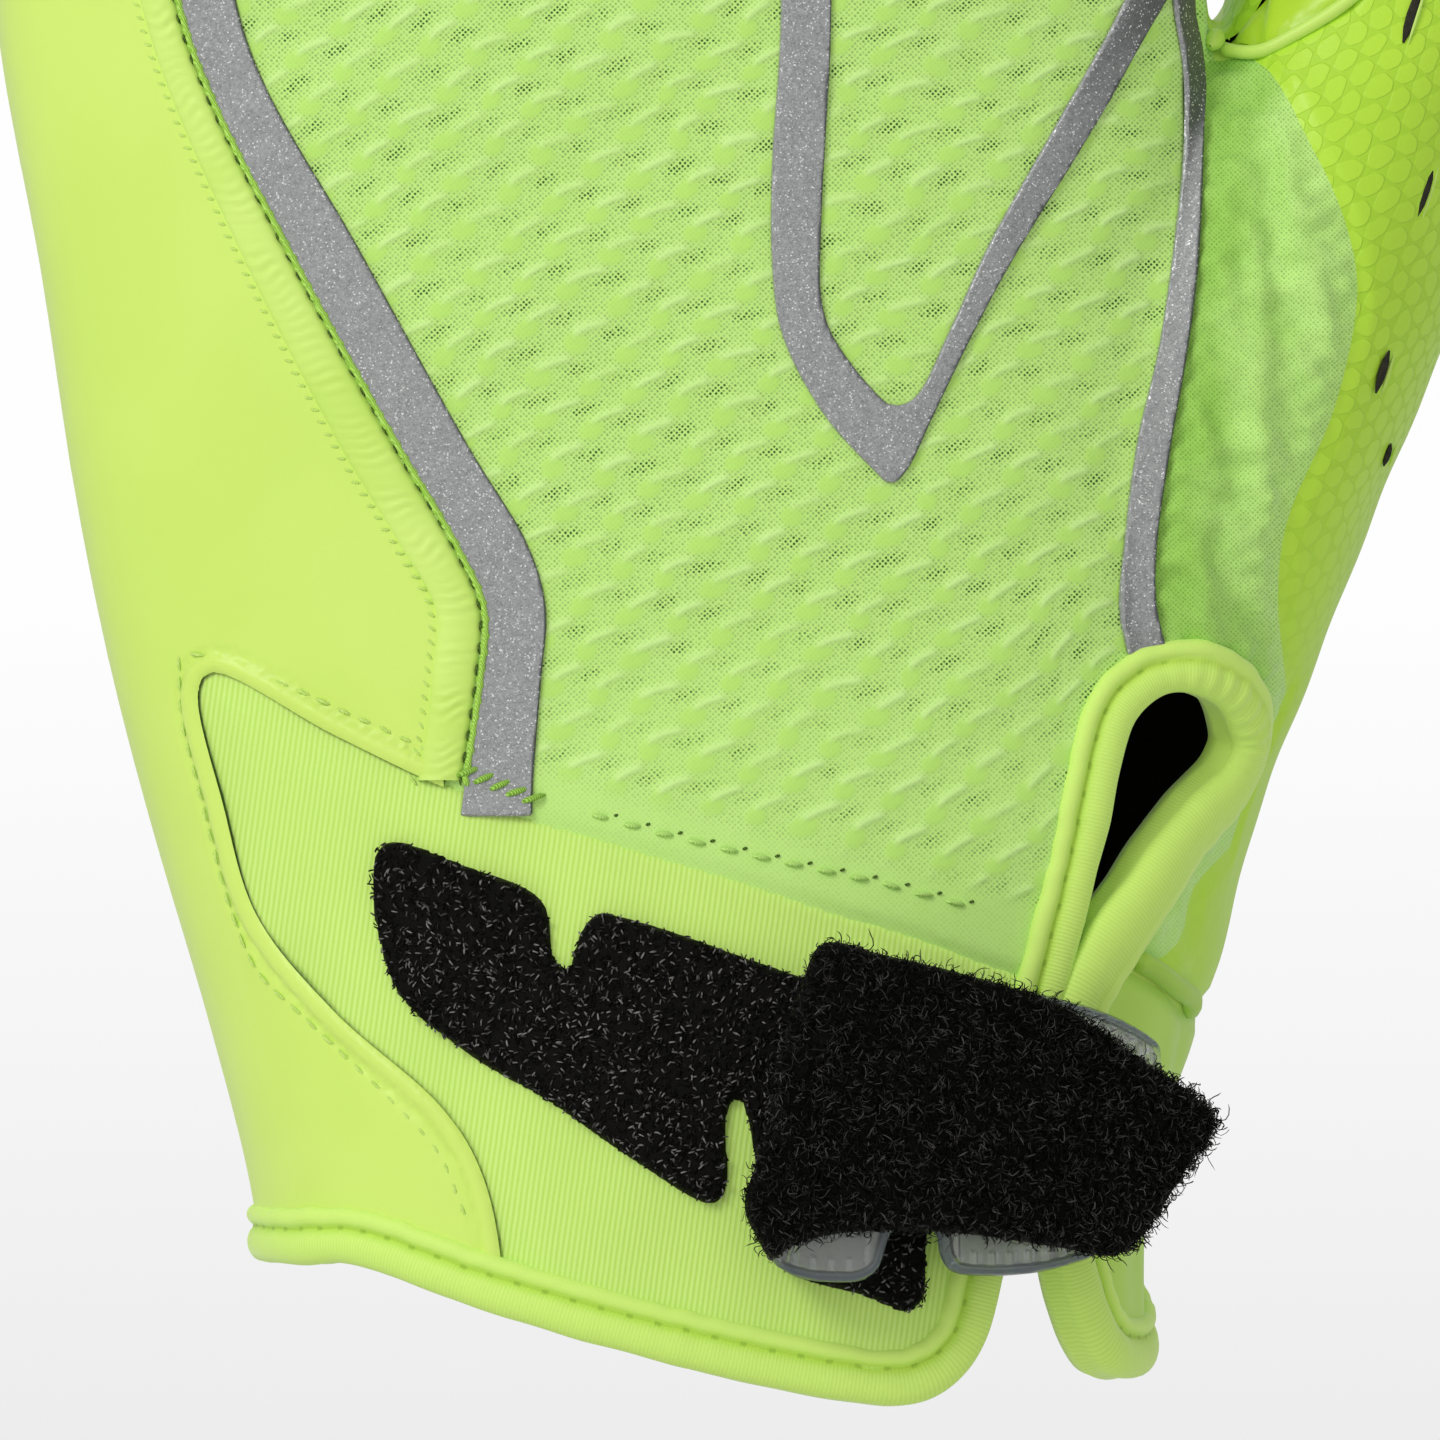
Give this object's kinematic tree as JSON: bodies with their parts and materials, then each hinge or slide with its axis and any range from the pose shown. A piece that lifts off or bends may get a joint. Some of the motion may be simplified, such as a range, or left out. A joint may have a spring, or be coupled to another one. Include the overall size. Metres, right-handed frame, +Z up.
{
  "type": "football receiver glove",
  "caption": "Left-hand receiver glove in its worn form: knit back, smooth grip palm, padded cuff with a keyhole slit and a folded hook-and-loop strap.",
  "frame": {"origin": "middle of the wrist mouth where the hand goes in, at the level of the hem's lowest point", "axes": "+Z up towards the fingertips, -Y out of the back of the hand, +X towards the thumb"},
  "size_m": [0.1424, 0.0631, 0.2363],
  "materials": {
    "grip": "satin",
    "embossed_grip": "satin",
    "knit": "matte",
    "gusset_knit": "matte",
    "gathered_seam": "matte",
    "jersey_foam": "matte",
    "binding": "matte",
    "reflective_film": "sparkling",
    "hook_tape": "matte",
    "loop_pile": "matte",
    "clear_moulding": "gloss"
  },
  "bodies": {
    "root": {"palm_grip": "grip", "back_knit": "knit", "seam_ridge": "gathered_seam", "thumb_gusset": "gusset_knit", "thumb_grip": "embossed_grip", "thumb_inner": "grip", "cuff_back_panel": "jersey_foam", "cuff_palm_panel": "grip", "edge_binding": "binding", "stripe_left": "reflective_film", "stripe_v": "reflective_film", "stripe_thumb": "reflective_film", "hook_panel": "hook_tape", "strap": "clear_moulding", "strap_loop_pad": "loop_pile", "little_finger_back": "knit", "little_finger_front": "grip", "ring_finger_back": "knit", "ring_finger_front": "grip", "middle_finger_back": "knit", "middle_finger_front": "grip", "index_finger_back": "knit", "index_finger_front": "grip"}
  },
  "joints": []
}
